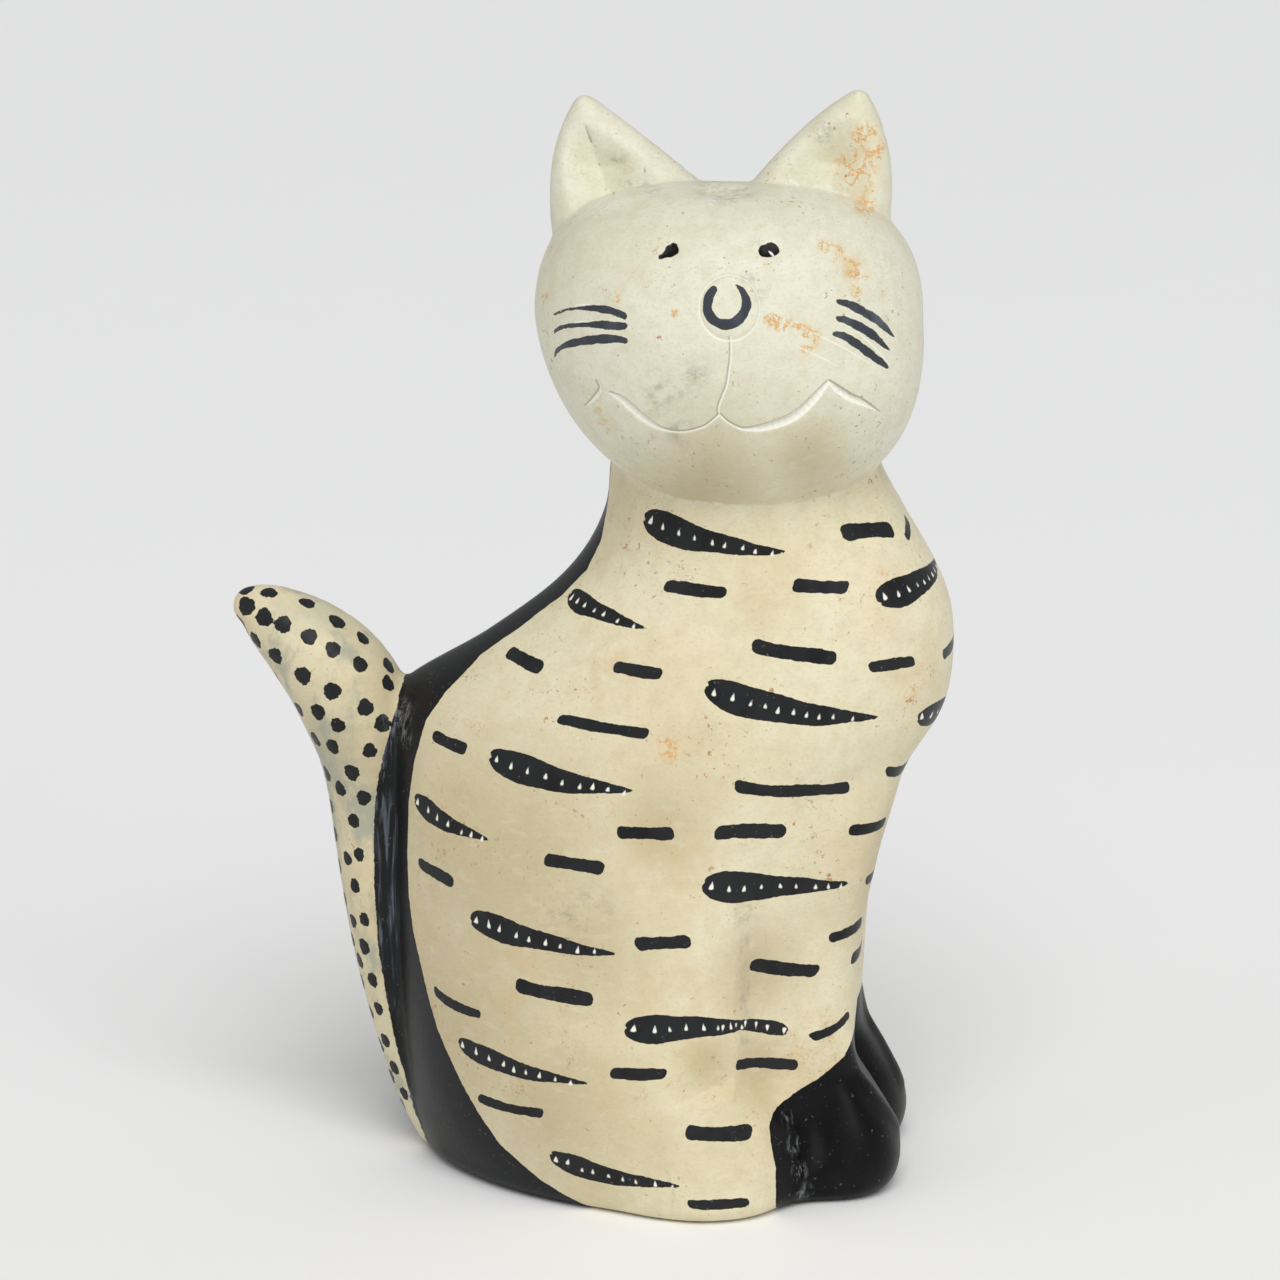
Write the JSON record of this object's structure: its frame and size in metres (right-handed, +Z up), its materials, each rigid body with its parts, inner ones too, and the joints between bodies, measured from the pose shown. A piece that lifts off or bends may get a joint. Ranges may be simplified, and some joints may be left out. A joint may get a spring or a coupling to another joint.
{
  "type": "soapstone cat figurine",
  "caption": "Seated cat carved from one block of pale soapstone, head turned to the side, horn-like tail up its back, painted with black strokes.",
  "frame": {"origin": "on the ground, under the middle of the figure's length and width", "axes": "+Z up; +X the way the chest points; -Y the way the face looks"},
  "size_m": [0.1298, 0.077, 0.1967],
  "materials": {
    "soapstone": "sanded satin, cream, with matt black paint"
  },
  "bodies": {
    "root": {"soapstone_cat": "soapstone"}
  },
  "joints": []
}
